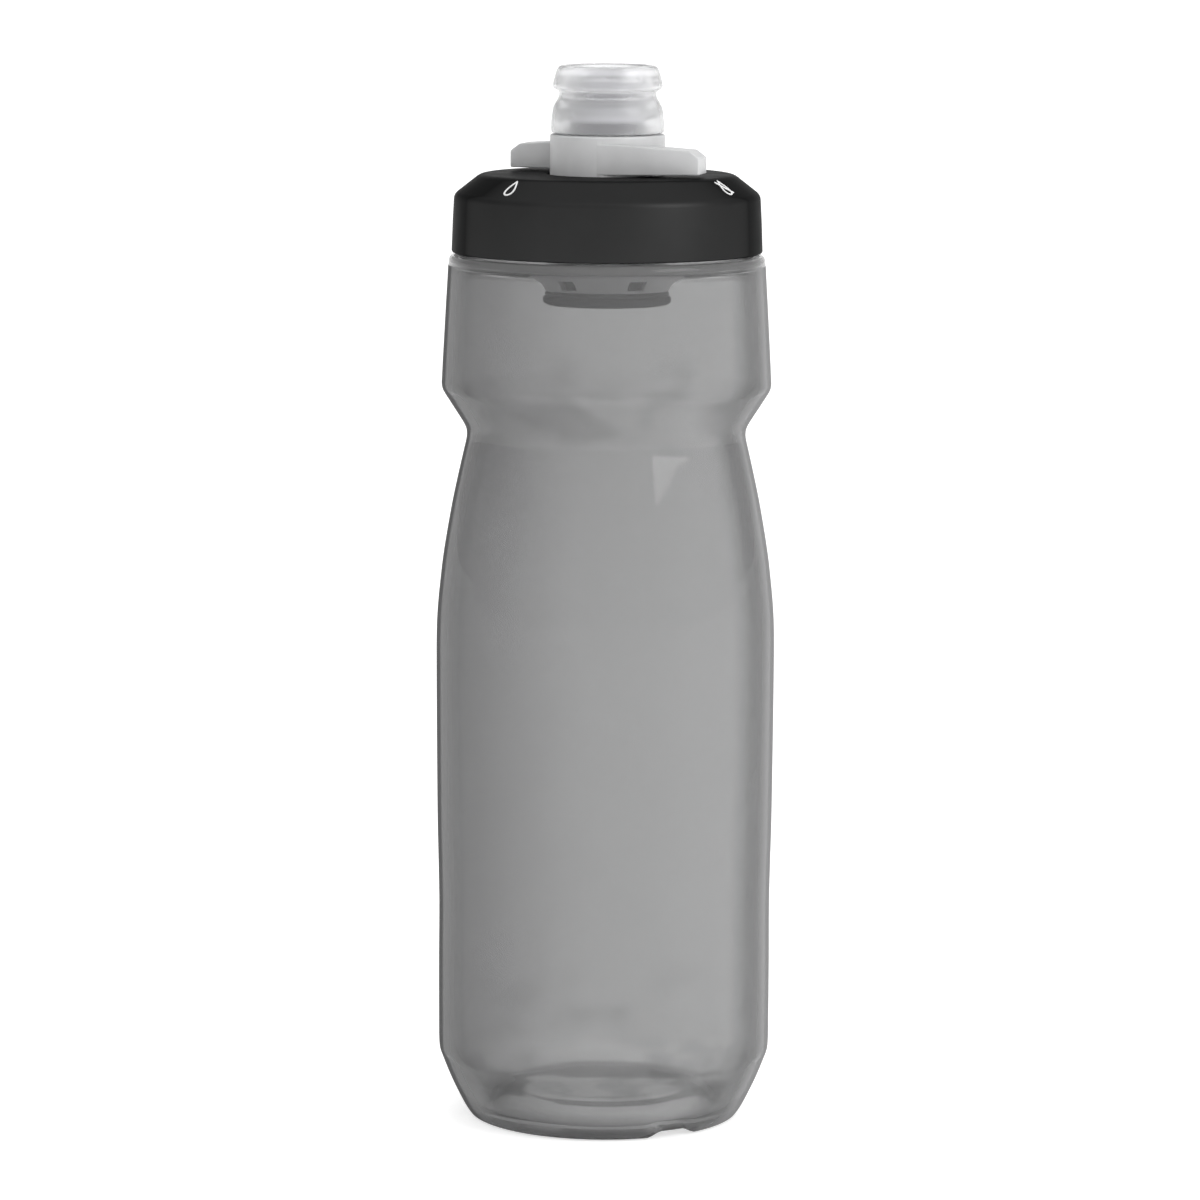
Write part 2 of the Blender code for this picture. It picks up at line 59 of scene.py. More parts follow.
# ------------------------------------------------------------------ shapes, in mm, as (radius, height)
BODY = (
    (30.6, 2.2), (32.0, 4.9), (33.3, 7.6), (34.4, 10.2), (35.45, 12.9), (35.95, 14.3), (36.12, 15.8),
    (36.18, 22.0), (36.2, 34.0), (36.14, 47.0), (36.3, 56.0), (36.5, 65.0), (36.64, 80.0), (36.72, 92.0),
    (36.75, 100.0), (36.74, 105.0), (36.62, 109.5), (36.35, 113.5), (35.92, 117.8), (35.42, 122.2),
    (34.78, 126.5), (34.05, 130.8), (33.25, 135.2), (32.35, 139.5), (31.3, 144.2), (30.75, 146.6),
    (30.38, 148.2), (30.18, 149.5), (30.3, 150.9), (30.8, 152.1), (31.65, 153.5), (33.3, 156.05),
    (34.15, 157.4), (34.95, 158.65), (35.45, 159.6), (35.65, 160.7), (35.6, 161.9), (35.42, 165.6),
    (35.18, 170.0), (34.94, 174.3), (34.7, 178.6), (34.44, 183.0), (34.25, 186.6),
)
SHOULDER = ((34.22, 187.2), (34.08, 187.8), (33.7, 188.35), (33.1, 188.65), (31.5, 188.75), (29.9, 188.8))
BASE_CORNER = ((27.2, 0.0), (28.4, 0.0), (28.95, 0.08), (29.3, 0.3), (29.65, 0.75))
NOZZLE = (
    (11.7, 214.82), (12.05, 214.95), (12.2, 215.3), (12.24, 216.4), (12.12, 217.6), (11.98, 218.9),
    (11.72, 220.2), (11.3, 221.15), (10.85, 221.85), (10.55, 222.55), (10.48, 223.2), (10.6, 223.65),
    (11.0, 223.95), (11.5, 224.2), (11.76, 224.6), (11.8, 225.1), (11.7, 225.85), (11.42, 226.8),
    (11.12, 227.8), (10.85, 228.5), (10.5, 228.95), (10.0, 229.2), (9.5, 229.25), (9.0, 229.05),
    (8.5, 228.6), (8.0, 228.15), (7.0, 227.8), (5.0, 227.5), (2.5, 227.35), (0.0, 227.3),
)
WALL = 1.05
PITCH, THREAD_TURNS, THREAD_START = 4.5, 1.5, 191.9
THREAD_RUN_OUT = 24.0  # degrees over which each end of the ridge sinks into the wall
THREAD_CREST, THREAD_FOOT = 0.5, 1.05  # half widths of the ridge
SHARP, SHARP_MARK = 40.0, 60.0  # angles from which an edge is shaded sharp


# ------------------------------------------------------------------ mesh helpers
def curve_through(points, steps):
    """A centripetal Catmull-Rom curve through the points, with this many steps between each pair."""
    p = [np.array(q, float) for q in points]
    p = [2 * p[0] - p[1], *p, 2 * p[-1] - p[-2]]
    out = []
    for a, b, c, d in zip(p, p[1:], p[2:], p[3:]):
        t0 = 0.0
        t1 = t0 + max(np.linalg.norm(b - a), 1e-6) ** 0.5
        t2 = t1 + max(np.linalg.norm(c - b), 1e-6) ** 0.5
        t3 = t2 + max(np.linalg.norm(d - c), 1e-6) ** 0.5
        for k in range(steps):
            t = t1 + (t2 - t1) * k / steps
            a1 = (t1 - t) / (t1 - t0) * a + (t - t0) / (t1 - t0) * b
            a2 = (t2 - t) / (t2 - t1) * b + (t - t1) / (t2 - t1) * c
            a3 = (t3 - t) / (t3 - t2) * c + (t - t2) / (t3 - t2) * d
            b1 = (t2 - t) / (t2 - t0) * a1 + (t - t0) / (t2 - t0) * a2
            b2 = (t3 - t) / (t3 - t1) * a2 + (t - t1) / (t3 - t1) * a3
            out.append(tuple((t2 - t) / (t2 - t1) * b1 + (t - t1) / (t2 - t1) * b2))
    out.append(tuple(p[-2]))
    return out


def rounded(corners, arc_steps=5):
    """A polyline of (radius, height, fillet) with each corner rounded by its fillet. It is a closed loop."""
    out = []
    count = len(corners)
    for k, (x, z, fillet) in enumerate(corners):
        here = np.array((x, z))
        if fillet <= 0:
            out.append((x, z))
            continue
        before, after = np.array(corners[k - 1][:2]), np.array(corners[(k + 1) % count][:2])
        a, b = before - here, after - here
        la, lb = np.linalg.norm(a), np.linalg.norm(b)
        cut = min(fillet, 0.48 * la, 0.48 * lb)
        start, end = here + a / la * cut, here + b / lb * cut
        for s in range(arc_steps + 1):
            t = s / arc_steps
            q = (1 - t) ** 2 * start + 2 * t * (1 - t) * here + t * t * end
            out.append(tuple(q))
    return out


def lathe(name, profile, segments, shape=None, closed=True):
    """A body of revolution from a loop of (radius, height) in mm.

    shape(azimuth, radius, height) may move a point.
    """
    bm = bmesh.new()
    rings = []
    for r, z in profile:
        if r < 1e-6:
            rings.append([bm.verts.new((0, 0, z * MM))])
            continue
        ring = []
        for k in range(segments):
            a = 2 * pi * k / segments
            rr, zz = shape(a, r, z) if shape else (r, z)
            ring.append(bm.verts.new((rr * MM * sin(a), -rr * MM * cos(a), zz * MM)))
        rings.append(ring)
    pairs = list(zip(rings, rings[1:]))
    if closed and len(rings[0]) > 1:
        pairs.append((rings[-1], rings[0]))
    for low, high in pairs:
        for k in range(segments):
            n = (k + 1) % segments
            corners = [low[k % len(low)], low[n % len(low)], high[n % len(high)], high[k % len(high)]]
            bm.faces.new(list(dict.fromkeys(corners)))
    return make(name, bm)


def make(name, bm, sharp=SHARP):
    """An object from bm, shaded smooth up to this angle."""
    bmesh.ops.recalc_face_normals(bm, faces=bm.faces)
    mesh = bpy.data.meshes.new(name)
    bm.to_mesh(mesh)
    bm.free()
    mesh.shade_smooth()
    mesh.set_sharp_from_angle(angle=radians(sharp))
    obj = bpy.data.objects.new(name, mesh)
    bpy.context.scene.collection.objects.link(obj)
    return obj


def prism(name, outline, frame_matrix, depth):
    """The outline, in the frame's x and y, drawn out along its z. All in metres."""
    bm = bmesh.new()
    near = [bm.verts.new(frame_matrix @ Vector((x, y, 0.0))) for x, y in outline]
    far = [bm.verts.new(frame_matrix @ Vector((x, y, depth))) for x, y in outline]
    bm.faces.new(near)
    bm.faces.new(far)
    for k in range(len(near)):
        n = (k + 1) % len(near)
        bm.faces.new([near[k], near[n], far[n], far[k]])
    return make(name, bm)


def bevel(obj, width, segments):
    modifier = obj.modifiers.new("edge", "BEVEL")
    modifier.width, modifier.segments = width * MM, segments
    modifier.limit_method, modifier.angle_limit = "ANGLE", radians(30.0)


def combine(obj, other, operation):
    modifier = obj.modifiers.new(other.name, "BOOLEAN")
    modifier.operation, modifier.solver, modifier.object = operation, "EXACT", other


def bake(obj, helpers=()):
    """Applies obj's modifiers, then deletes the helper objects they used."""
    bpy.context.view_layer.update()
    graph = bpy.context.evaluated_depsgraph_get()
    mesh = bpy.data.meshes.new_from_object(obj.evaluated_get(graph))
    obj.modifiers.clear()
    obj.data = mesh
    mesh.shade_smooth()
    mesh.set_sharp_from_angle(angle=radians(SHARP))
    for other in helpers:
        bpy.data.objects.remove(other, do_unlink=True)
    return obj


def outward(azimuth):
    """The direction away from the axis at this azimuth, in degrees from the front."""
    return Vector((sin(radians(azimuth)), -cos(radians(azimuth)), 0.0))


def upright_frame(azimuth, radius):
    """x around the axis, y up, z outward, at this radius."""
    out = outward(azimuth)
    across = Vector((0, 0, 1)).cross(out)
    rows = [(across[k], (0.0, 0.0, 1.0)[k], out[k], 0.0) for k in range(3)]
    return Matrix.Translation(out * radius * MM) @ Matrix([*rows, (0.0, 0.0, 0.0, 1.0)])


def smoothstep(low, high, x):
    t = min(1.0, max(0.0, (x - low) / (high - low)))
    return t * t * (3 - 2 * t)


def angle_from(azimuth, middle):
    """Signed angle in degrees between an azimuth in radians and one in degrees."""
    return (azimuth * 180 / pi - middle + 180.0) % 360.0 - 180.0


def thread_height(azimuth, z, first):
    """How much of the thread's ridge stands here, 0 to 1. first is where it starts, in degrees from +X."""
    best = 0.0
    turn = (azimuth * 180 / pi - 90.0) % 360.0
    while turn < first:
        turn += 360.0
    end = first + 360.0 * THREAD_TURNS
    start = THREAD_START - (PITCH / 2 if first else 0.0)
    while turn <= end:
        away = abs(z - (start + PITCH * turn / 360.0))
        fade = smoothstep(0.0, THREAD_RUN_OUT, min(turn - first, end - turn))
        best = max(best, (1.0 - smoothstep(THREAD_CREST, THREAD_FOOT, away)) * fade)
        turn += 360.0
    return best


# ------------------------------------------------------------------ materials
class Nodes:
    """Short names for building a material's nodes. mix and blend take a source or a constant."""

    def __init__(self, name):
        self.material = bpy.data.materials.new(name)
        self.material.use_nodes = True
        self.tree = self.material.node_tree
        self.shader = self.tree.nodes["Principled BSDF"]
        self.place = self.add("ShaderNodeTexCoord").outputs["Object"]

    def add(self, kind, **settings):
        node = self.tree.nodes.new(kind)
        for key, value in settings.items():
            setattr(node, key, value)
        return node

    def link(self, a, b):
        self.tree.links.new(a, b)

    def set(self, **values):
        for key, value in values.items():
            self.shader.inputs[key.replace("_", " ")].default_value = value

    def feed(self, **sources):
        for key, source in sources.items():
            self.link(source, self.shader.inputs[key.replace("_", " ")])

    def scaled(self, scale):
        mapping = self.add("ShaderNodeMapping")
        mapping.inputs["Scale"].default_value = scale
        self.link(self.place, mapping.inputs["Vector"])
        return mapping.outputs["Vector"]

    def noise(self, scale, detail=2.0, rough=0.5, stretch=(1, 1, 1)):
        node = self.add("ShaderNodeTexNoise")
        node.inputs["Scale"].default_value = scale
        node.inputs["Detail"].default_value = detail
        node.inputs["Roughness"].default_value = rough
        self.link(self.scaled(stretch), node.inputs["Vector"])
        return node.outputs["Fac"]

    def axes(self, source):
        """The X, Y and Z of a vector."""
        split = self.add("ShaderNodeSeparateXYZ")
        self.link(source, split.inputs[0])
        return split.outputs

    def facing(self):
        """0 where the surface faces the eye, 1 where it is seen edge-on."""
        node = self.add("ShaderNodeLayerWeight")
        node.inputs["Blend"].default_value = 0.5
        return node.outputs["Facing"]

    def ramp(self, source, low, high, out_low, out_high):
        node = self.add("ShaderNodeMapRange")
        fill_range(node, low, high, out_low, out_high)
        self.link(source, node.inputs["Value"])
        return node.outputs["Result"]

    def fade(self, source, band):
        """0 at the band's first value and 1 at its second."""
        return self.ramp(source, *band, 0.0, 1.0)

    def mix(self, factor, a, b):
        node = self.add("ShaderNodeMix", data_type="RGBA")
        self.link(factor, node.inputs["Factor"])
        for socket, value in (("A", a), ("B", b)):
            target = next(i for i in node.inputs if i.name == socket and i.type == "RGBA")
            if isinstance(value, tuple):
                target.default_value = (*value, 1.0)
            else:
                self.link(value, target)
        return next(o for o in node.outputs if o.type == "RGBA")

    def clouded(self, source, a, b):
        """Two colours mixed softly by a noise."""
        return self.mix(self.fade(source, (0.3, 0.7)), a, b)

    def blend(self, factor, a, b):
        """The same as mix, for numbers."""
        node = self.add("ShaderNodeMix", data_type="FLOAT")
        self.link(factor, node.inputs["Factor"])
        for target, value in ((node.inputs[2], a), (node.inputs[3], b)):
            if isinstance(value, float):
                target.default_value = value
            else:
                self.link(value, target)
        return node.outputs[0]

    def math(self, operation, *sources):
        node = self.add("ShaderNodeMath", operation=operation)
        for source, target in zip(sources, node.inputs):
            self.link(source, target)
        return node.outputs[0]

    def times(self, a, b):
        return self.math("MULTIPLY", a, b)

    def bump(self, layers):
        """layers: (height source, strength, distance in mm), from the largest to the finest."""
        last = None
        for source, strength, distance in layers:
            node = self.add("ShaderNodeBump")
            node.inputs["Strength"].default_value = strength
            node.inputs["Distance"].default_value = distance * MM
            self.link(source, node.inputs["Height"])
            if last:
                self.link(last, node.inputs["Normal"])
            last = node.outputs["Normal"]
        self.link(last, self.shader.inputs["Normal"])


def fill_range(node, low, high, out_low, out_high):
    for key, value in (("From Min", low), ("From Max", high), ("To Min", out_low), ("To Max", out_high)):
        node.inputs[key].default_value = value


def fill_ramp(ramp, stops):
    """Sets a colour ramp from (position, (red, green, blue)). The first and last stops stay at its ends."""
    ramp.interpolation = "EASE"
    for element, (_, colour) in ((ramp.elements[0], stops[0]), (ramp.elements[1], stops[-1])):
        element.color = (*colour, 1.0)
    for position, colour in stops[1:-1]:
        ramp.elements.new(position).color = (*colour, 1.0)


# Smoke tones. Light that crosses a wall is tinted once by its tone.
# Painted shade and light: the shaded-side tones darken the -X side and the lit-side tone lightens the +X
# side, as the key light falls from the right.
SMOKE_SHADED_SIDE, SMOKE_SHADED_SIDE_CLOUD = (0.495, 0.495, 0.497), (0.508, 0.508, 0.510)
SMOKE_LIT_SIDE = (0.535, 0.535, 0.537)
# Painted shade: dark blotches near base and waist, for the dark refractions there.
SMOKE_BLOTCH_SHADE = (0.33, 0.33, 0.332)
# Painted light makes the base and level faces paler; painted shade darkens the foot.
SMOKE_BASE_LIGHT, SMOKE_FOOT_SHADE, SMOKE_LEVEL_LIGHT = (0.62, 0.62, 0.622), (0.20, 0.20, 0.202), (0.80, 0.80, 0.802)
# Slant and edge tones: partly the longer path through the wall, partly painted edge shade, darker on the
# painted-shade side.
SMOKE_SLANT = (0.18, 0.18, 0.182)
SMOKE_EDGE_SHADED, SMOKE_EDGE_LIT = (0.085, 0.085, 0.086), (0.20, 0.20, 0.202)
# Bands over which one tone gives way to the next: across the body and up it, in metres.
SHADE_ACROSS = (-0.014, 0.018)
FOOT_SHADE_BAND, BASE_LIGHT_BAND, BLOTCH_SHADE_BASE_BAND = (0.0040, 0.0012), (0.0115, 0.0065), (0.028, 0.015)
WAIST_BELOW, WAIST_ABOVE = (0.148, 0.153), (0.166, 0.159)
SHOULDER_BELOW, SHOULDER_ABOVE = (0.1864, 0.1874), (0.1890, 0.1896)
# The same by how edge-on the wall is seen, which is partly the longer path through the wall and partly
# painted edge shade: on the painted-shade side and the painted-light side, and where it turns opaque.
SLANT_SHADED_BAND, SLANT_LIT_BAND, OPAQUE_BAND = (0.02, 0.85), (0.36, 0.62), (0.50, 0.82)


def smoke_plastic():
    """Smoked plastic that reads darker and more opaque where it is seen edge-on.

    The side of the open mark (-X) is painted darker as shade and the +X side paler as light from the key;
    the edge-on darkening is partly the longer path through the wall and partly painted edge shade; dark
    blotches near base and waist are painted refraction shade.
    """
    m = Nodes("smoke_plastic_looks")
    m.set(IOR=1.24)
    cloud = m.noise(45.0, 3.0, 0.5)
    streak = m.noise(110.0, 2.0, 0.5, (1, 1, 0.06))
    speck = m.noise(700.0, 2.0, 0.5)
    place = m.axes(m.place)
    across, height = place["X"], place["Z"]
    # side runs from painted shade on -X to painted light on +X.
    side = m.fade(across, SHADE_ACROSS)
    wall = m.mix(side, m.clouded(cloud, SMOKE_SHADED_SIDE, SMOKE_SHADED_SIDE_CLOUD), SMOKE_LIT_SIDE)

    # Painted shade: noise blotches near the base and the waist stand in for dark refractions through the
    # wavy base and the waist groove.
    blotch_shade = m.ramp(m.noise(75.0, 2.0, 0.45, (1, 1, 1.5)), 0.50, 0.64, 0.0, 0.55)
    near_base = m.fade(height, BLOTCH_SHADE_BASE_BAND)
    near_waist = m.times(m.fade(height, WAIST_BELOW), m.ramp(height, *WAIST_ABOVE, 0.0, 0.8))
    wall = m.mix(m.times(blotch_shade, m.math("MAXIMUM", near_base, near_waist)), wall, SMOKE_BLOTCH_SHADE)
    # Painted light: the lowest part of the wall is paler, standing in for light from under the bottle.
    wall = m.mix(m.fade(height, BASE_LIGHT_BAND), wall, SMOKE_BASE_LIGHT)

    flat = m.math("ABSOLUTE", m.axes(m.add("ShaderNodeNewGeometry").outputs["Normal"])["Z"])
    shoulder = m.times(m.fade(height, SHOULDER_BELOW), m.ramp(height, *SHOULDER_ABOVE, 1.0, 0.3))
    upright = m.times(m.ramp(flat, 0.6, 0.95, 1.0, 0.0), m.ramp(shoulder, 0.0, 1.0, 1.0, 0.0))
    foot = m.fade(height, FOOT_SHADE_BAND)
    facing = m.facing()
    # Edge darkening: partly the longer path through the wall, partly painted edge shade, wider and darker on
    # the painted-shade side.
    slant = m.blend(side, m.fade(facing, SLANT_SHADED_BAND), m.fade(facing, SLANT_LIT_BAND))
    edge_on = m.times(m.fade(facing, OPAQUE_BAND), upright)
    # Painted light: level faces and the shoulder band are paler.
    wall = m.mix(m.fade(flat, (0.7, 0.97)), wall, SMOKE_LEVEL_LIGHT)
    # Painted shade: the wall darkens towards its bottom edge.
    wall = m.mix(foot, wall, SMOKE_FOOT_SHADE)
    wall = m.mix(shoulder, wall, SMOKE_LEVEL_LIGHT)
    wall = m.mix(m.times(slant, upright), wall, SMOKE_SLANT)
    wall = m.mix(edge_on, wall, m.mix(side, SMOKE_EDGE_SHADED, SMOKE_EDGE_LIT))

    glint = m.times(m.ramp(facing, 0.30, 0.80, 0.5, 0.0), m.ramp(foot, 0.0, 1.0, 1.0, 0.1))
    m.feed(
        Base_Color=wall,
        Transmission_Weight=m.ramp(edge_on, 0.0, 1.0, 0.88, 0.05),
        Specular_IOR_Level=m.blend(shoulder, glint, 0.9),
        Roughness=m.ramp(speck, 0.3, 0.7, 0.045, 0.065),
    )
    m.bump([(streak, 0.12, 0.2), (cloud, 0.10, 0.3), (speck, 0.02, 0.01)])
    return m.material


def black_plastic():
    m = Nodes("black_plastic_looks")
    grain = m.noise(4200.0, 2.0, 0.5)
    soft = m.noise(160.0, 3.0, 0.5)
    m.feed(
        Base_Color=m.clouded(soft, (0.0040, 0.0042, 0.0043), (0.0060, 0.0062, 0.0063)),
        Roughness=m.ramp(soft, 0.25, 0.75, 0.40, 0.50),
        Specular_IOR_Level=m.ramp(m.facing(), 0.10, 0.60, 0.31, 0.01),
    )
    m.bump([(soft, 0.05, 0.2), (grain, 0.25, 0.03)])
    return m.material


def grey_plastic():
    m = Nodes("grey_plastic_looks")
    grain = m.noise(3600.0, 2.0, 0.5)
    soft = m.noise(220.0, 3.0, 0.5)
    m.feed(
        Base_Color=m.clouded(soft, (0.51, 0.513, 0.517), (0.55, 0.553, 0.557)),
        Roughness=m.ramp(soft, 0.25, 0.75, 0.34, 0.44),
    )
    m.set(Subsurface_Weight=0.15, Subsurface_Scale=0.001, Subsurface_Radius=(1.0, 1.0, 1.0))
    m.bump([(soft, 0.05, 0.2), (grain, 0.2, 0.025)])
    return m.material


NOZZLE_BAND = (0.2148, 0.2293)  # heights of the nozzle's foot and top, in metres
# (share of the nozzle's height, tone): dark bands are partly the moulding's thick rings and partly painted
# shade, bright bands are painted highlights.
NOZZLE_SHADE_AND_SHEEN = (
    (0.0, 0.55), (0.14, 0.52), (0.23, 0.97), (0.32, 0.85), (0.45, 0.60), (0.60, 0.55), (0.66, 0.9),
    (0.71, 0.68), (0.84, 0.66), (0.9, 0.97), (1.0, 0.95),
)
COOL = 1.03  # how much more blue than red the silicone lets through


def silicone():
    m = Nodes("clear_silicone_looks")
    m.set(Transmission_Weight=0.7, IOR=1.41)
    cloud = m.noise(160.0, 3.0, 0.5)
    grain = m.noise(2600.0, 2.0, 0.5)
    milky = m.clouded(cloud, (0.93, 0.935, 0.94), (0.97, 0.973, 0.977))
    shade_and_sheen = m.add("ShaderNodeValToRGB")
    fill_ramp(shade_and_sheen.color_ramp, [(share, (tone, tone, tone * COOL)) for share, tone in NOZZLE_SHADE_AND_SHEEN])
    m.link(m.fade(m.axes(m.place)["Z"], NOZZLE_BAND), shade_and_sheen.inputs["Fac"])
    m.feed(
        # The painted shade and highlight bands show where the nozzle faces the eye, with the milky tone at
        # its edges.
        Base_Color=m.mix(m.ramp(m.facing(), 0.02, 0.40, 1.0, 0.0), milky, shade_and_sheen.outputs["Color"]),
        Roughness=m.ramp(cloud, 0.25, 0.75, 0.17, 0.22),
    )
    m.bump([(cloud, 0.12, 0.2), (grain, 0.12, 0.02)])
    return m.material


def seal_rubber():
    m = Nodes("seal_rubber_looks")
    grain = m.noise(2600.0, 2.0, 0.6)
    bloom = m.noise(300.0, 3.0, 0.5)
    m.feed(
        Base_Color=m.mix(m.fade(bloom, (0.35, 0.7)), (0.02, 0.02, 0.022), (0.045, 0.045, 0.048)),
        Roughness=m.ramp(bloom, 0.25, 0.75, 0.5, 0.68),
    )
    m.bump([(grain, 0.2, 0.02)])
    return m.material


def mark_white():
    m = Nodes("mark_white_looks")
    ink = m.noise(2400.0, 2.0, 0.6)
    m.feed(
        Base_Color=m.clouded(ink, (0.72, 0.72, 0.72), (0.86, 0.86, 0.86)),
        Roughness=m.ramp(ink, 0.25, 0.75, 0.4, 0.55),
    )
    m.bump([(ink, 0.2, 0.01)])
    return m.material


# ------------------------------------------------------------------ pieces
SEGMENTS = {"bottle": 168, "cap": 160, "dial": 128, "nozzle": 128, "housing": 96, "end_disc": 96}
DRAINS = (31.0, 211.0)  # azimuths of the channels across the standing ring
DRAIN_DEPTH = 1.25
DRAIN_FLANK = (2.6, 6.2)  # distances from a channel's middle over which it ends
DRAIN_INNER, DRAIN_LOW = (21.0, 25.5), (0.6, 5.0)  # radii over which it begins, heights over which it ends
DRAINED_BELOW = 6.5
NECK_RADIUS, THREADED = 29.4, (190.4, 200.0)
THREAD_DEPTH, CAP_THREAD_DEPTH, CAP_THREAD_RADIUS = 1.5, 1.6, 31.45
CAP_THREAD_FOOT, THREAD_STEP = 190.0, 0.28


def drain(azimuth, r, z):
    """How far the base is pushed up here by the channels across the standing ring, in mm."""
    lift = 0.0
    for middle in DRAINS:
        across = angle_from(azimuth, middle) * pi / 180 * r
        lift = max(lift, DRAIN_DEPTH * (1.0 - smoothstep(*DRAIN_FLANK, abs(across))))
    inner, low = smoothstep(*DRAIN_INNER, r), 1.0 - smoothstep(*DRAIN_LOW, z)
    return lift * inner * low


def body_shape(azimuth, r, z):
    """Moves a point of the round body for the channels under it and the thread on its neck."""
    if z < DRAINED_BELOW:
        z += drain(azimuth, r, z)
    if THREADED[0] < z < THREADED[1] and r > 29.0:
        r += THREAD_DEPTH * thread_height(azimuth, z, 0.0)
    return r, z


def offset_inward(points, distance):
    """The line moved sideways, towards the axis, by distance(height) mm."""
    p = np.array(points)
    d = np.gradient(p, axis=0)
    d /= np.linalg.norm(d, axis=1)[:, None]
    normal = np.stack([-d[:, 1], d[:, 0]], axis=1)
    return [tuple(q + n * distance(q[1])) for q, n in zip(p, normal)]


def make_bottle(material):
    outside = curve_through([*BASE_CORNER, *BODY], 4)
    shoulder = curve_through(SHOULDER, 3)
    neck = [(29.55, 189.0), (NECK_RADIUS, 189.4)]
    neck += [(NECK_RADIUS, 189.9 + THREAD_STEP * k) for k in range(36)]
    lip = [(29.35, 200.1), (29.2, 200.3), (28.95, 200.4), (28.05, 200.4), (27.8, 200.3), (27.65, 200.1),
           (27.6, 199.8)]
    bore = [(27.6, 196.0), (27.6, 192.0), (27.62, 189.0), (27.8, 188.1), (28.3, 187.4), (29.2, 187.05),
            (31.0, 186.85), (32.2, 186.5), (32.9, 185.7), (33.15, 184.6)]
    walls = [q for q in curve_through(BODY, 3) if 5.5 < q[1] < 183.0]
    inner = list(reversed(offset_inward(walls, lambda z: WALL)))
    floor = [(30.5, 4.6), (29.4, 3.2), (28.3, 2.6), (27.0, 2.45), (25.8, 2.7), (24.2, 4.2), (22.0, 5.9),
             (19.5, 6.6), (15.0, 6.9), (8.0, 7.0), (0.0, 7.05)]
    under = [(0.0, 5.6), (8.0, 5.55), (15.0, 5.4), (19.0, 5.1), (21.2, 4.5), (23.0, 3.1), (24.6, 1.3),
             (25.5, 0.35), (26.2, 0.05)]
    profile = under + outside + shoulder + neck + lip + bore + inner + floor
    bottle = lathe("bottle_shell", profile, SEGMENTS["bottle"], body_shape)
    bottle.data.materials.append(material)
    return bottle


def make_cap(material):
    corners = [
        (8.3, 198.0, 0.3), (8.3, 205.2, 0.25), (13.0, 205.2, 0.25), (13.0, 206.0, 0.25), (27.3, 206.0, 1.1),
        (33.0, 201.55, 1.0), (33.3, 195.9, 0.0), (33.55, 189.1, 0.55), (31.6, 189.1, 0.3),
    ]
    foot = (CAP_THREAD_RADIUS, CAP_THREAD_FOOT)
    wall = [(CAP_THREAD_RADIUS, 190.2 + THREAD_STEP * k) for k in range(35)]
    inside = [
        (31.3, 200.5, 0.3), (30.1, 202.4, 0.2), (26.4, 202.4, 0.1), (26.4, 199.6, 0.3), (25.2, 199.6, 0.3),
        (25.2, 204.2, 0.4), (20.0, 204.2, 0.3), (20.0, 199.4, 0.3), (18.7, 199.4, 0.3), (18.7, 204.2, 0.2),
        (10.0, 204.2, 0.3), (10.0, 198.0, 0.3),
    ]
    loop = rounded([*corners, (*foot, 0.0), *inside], 5)
    cut = loop.index(foot) + 1
    profile = loop[:cut] + wall + loop[cut:]

    def shape(azimuth, r, z):
        if abs(r - CAP_THREAD_RADIUS) < 0.01 and z > 190.1:
            return r - CAP_THREAD_DEPTH * thread_height(azimuth, z, 180.0), z
        return r, z

    cap = lathe("cap_cover", profile, SEGMENTS["cap"], shape)
    cap.data.materials.append(material)
    return cap


WING_OUTLINE = ((0.5, 206.3), (23.0, 206.7), (23.0, 210.3), (20.9, 211.85), (5.0, 212.9), (0.5, 212.9))
WING_AZIMUTH, WING_INNER_FACE, WING_THICKNESS, WING_EDGE, WING_CORE = -14.0, 4.9, 7.5, 0.3, 11.8


def wing_form(azimuth, name, core):
    """A wing whose outer face touches the collar at this azimuth.

    Its edges are rounded and its root is cut to the core.
    """
    place = upright_frame(azimuth, WING_INNER_FACE)
    obj = prism(name, [(x * MM, y * MM) for x, y in WING_OUTLINE], place, WING_THICKNESS * MM)
    bevel(obj, WING_EDGE, 4)
    bake(obj)
    combine(obj, core, "DIFFERENCE")
    return bake(obj)


def dressed(obj, helpers, material):
    """Applies obj's modifiers and gives it its one material."""
    bake(obj, helpers)
    obj.data.materials.clear()
    obj.data.materials.append(material)
    return obj


DETENTS = (-40.0, 36.0, 140.0, 216.0)  # azimuths of the small notches under the collar
DETENT_WIDTH, DETENT_HEIGHT, DETENT_MIDDLE = 0.75, 0.5, 205.45  # the first two are halves


